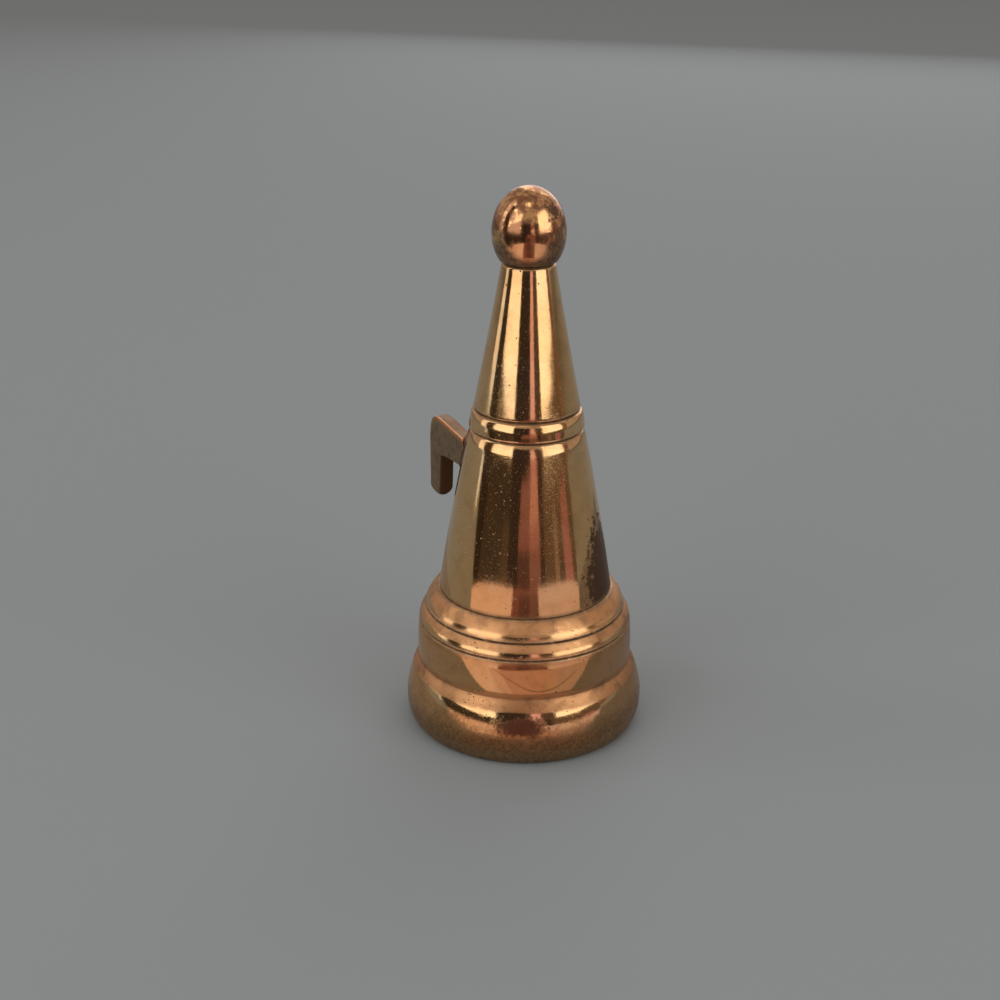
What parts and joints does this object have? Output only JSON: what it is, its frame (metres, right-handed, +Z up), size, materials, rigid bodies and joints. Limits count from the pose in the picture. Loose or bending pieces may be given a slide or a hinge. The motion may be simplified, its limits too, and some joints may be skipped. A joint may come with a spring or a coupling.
{
  "type": "candle snuffer",
  "caption": "Hollow brass cone that is lowered over a candle flame, with a ball finial, a grooved band, a flared foot and a small hanging hook.",
  "frame": {"origin": "centre of the foot's underside, on the snuffer's axis, where it stands on the table", "axes": "+Z up along the axis to the ball; the hook's root is on the -X flank and its arm leans towards +Y"},
  "size_m": [0.0308, 0.0308, 0.07],
  "materials": {
    "polished_brass": "polished, lightly tarnished and pitted",
    "dull_brass": "dull, tarnished brown",
    "braze": "rough copper red",
    "soft_solder": "dull grey soft solder"
  },
  "bodies": {
    "root": {"ball_finial": "polished_brass", "cone_body": "polished_brass", "bell_foot": "polished_brass", "hanging_hook": "dull_brass", "hook_braze": "braze", "foot_solder": "soft_solder"}
  },
  "joints": []
}
